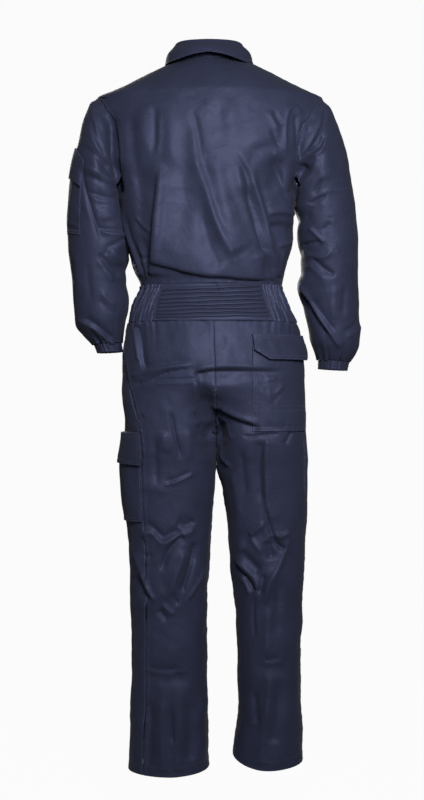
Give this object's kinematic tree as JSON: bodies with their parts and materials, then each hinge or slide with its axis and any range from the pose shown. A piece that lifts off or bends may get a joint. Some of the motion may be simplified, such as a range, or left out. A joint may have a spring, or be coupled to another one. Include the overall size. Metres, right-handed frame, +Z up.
{
  "type": "boiler suit",
  "caption": "Worn navy twill boiler suit with a bloused back, pleated waist panel, gathered cuffs, patch pockets and a full front zip",
  "frame": {"origin": "between the shoulders, at the height of the side of the neck, where the wearer's shoulders hold the garment", "axes": "+Z up, -Y to the front of the garment, +X to the wearer's left"},
  "size_m": [0.6377, 0.2549, 1.5689],
  "materials": {
    "twill": "navy polyester and cotton twill with a soft satin sheen",
    "twill_gathered": "navy twill drawn in by elastic",
    "zip_tape": "dark woven zip tape",
    "zip_metal": "dull brass"
  },
  "bodies": {
    "root": {"back_bodice": "twill", "front_bodice_left": "twill", "front_bodice_right": "twill", "collar_stand": "twill", "collar_fall": "twill", "sleeve_left": "twill", "sleeve_right": "twill", "cuff_left": "twill_gathered", "cuff_right": "twill_gathered", "waistband_back": "twill", "waist_side_left": "twill_gathered", "waist_side_right": "twill_gathered", "trouser_back_left": "twill", "trouser_back_right": "twill", "trouser_front_left": "twill", "trouser_front_right": "twill", "hip_pocket": "twill", "hip_pocket_flap": "twill", "cargo_pocket": "twill", "cargo_pocket_flap": "twill", "tool_pocket": "twill", "sleeve_pocket": "twill", "sleeve_pocket_flap": "twill", "zip_tape": "zip_tape", "zip_slider": "zip_metal"},
    "pull_tab": {"zip_pull": "zip_metal"}
  },
  "joints": [
    {"name": "tab_hinge", "type": "hinge", "parent": "root", "child": "pull_tab", "pos_m": [0.00516, -0.08771, -0.08826], "axis": [-1, 0, 0], "range_deg": [0, 160]}
  ]
}
